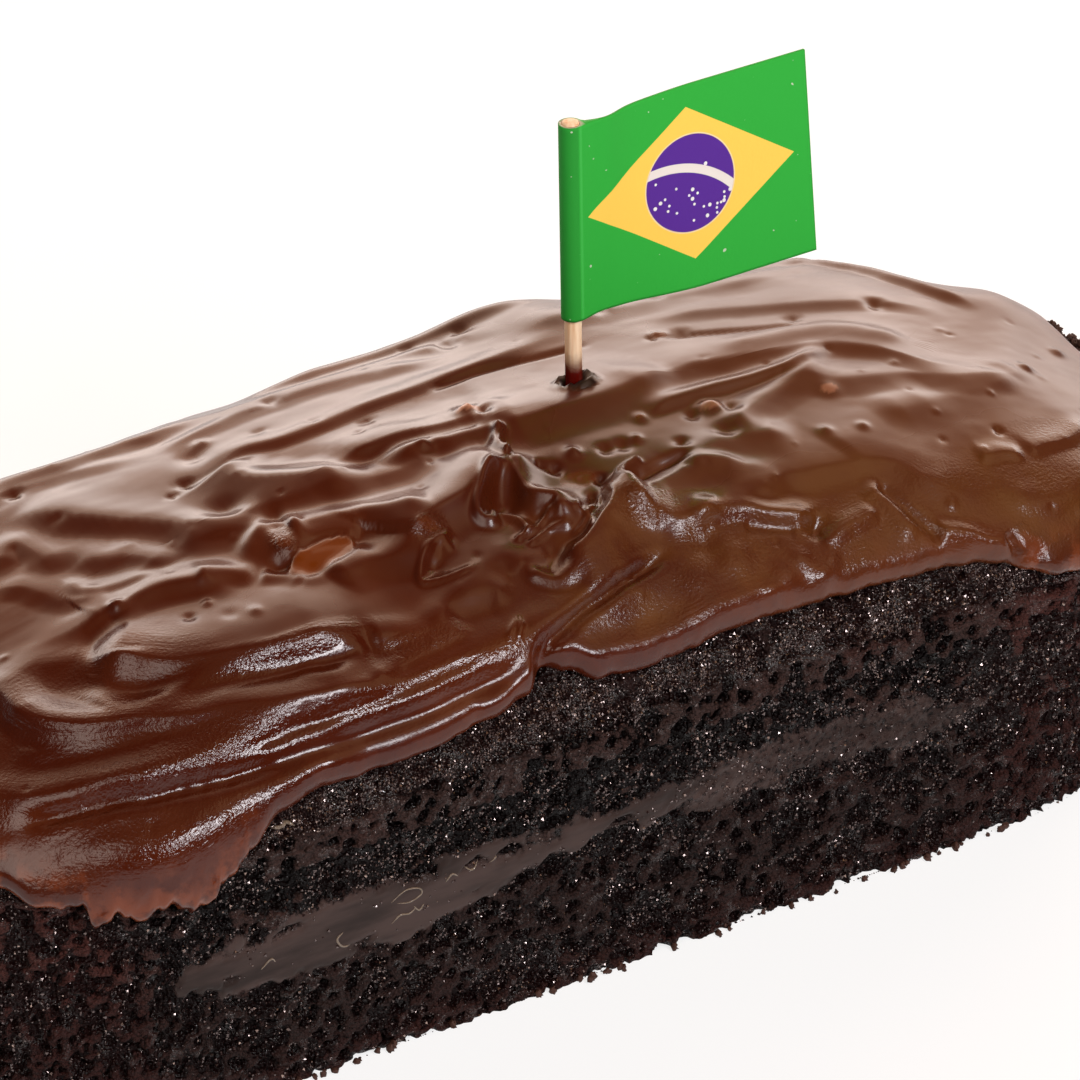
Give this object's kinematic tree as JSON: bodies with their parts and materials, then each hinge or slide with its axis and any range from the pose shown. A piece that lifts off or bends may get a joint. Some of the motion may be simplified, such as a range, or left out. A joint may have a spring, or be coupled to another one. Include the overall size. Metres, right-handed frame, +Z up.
{
  "type": "chocolate loaf cake",
  "caption": "Round-ended chocolate loaf cake with a swirled glossy chocolate frosting and a small paper flag on a wooden pick.",
  "frame": {"origin": "middle of the loaf's flat base", "axes": "+X along the loaf towards the end that the flag flies to, -Y to the front that the picture shows, +Z up"},
  "size_m": [0.1728, 0.0721, 0.0866],
  "materials": {
    "crumb": "moist torn chocolate crumb with a smooth damp band",
    "frosting": "glossy spread chocolate frosting",
    "pick_wood": "bare pale wood, stained at its foot",
    "flag_paper": "printed matte paper"
  },
  "bodies": {
    "root": {"cake": "crumb", "frosting": "frosting", "pick": "pick_wood", "flag": "flag_paper"}
  },
  "joints": []
}
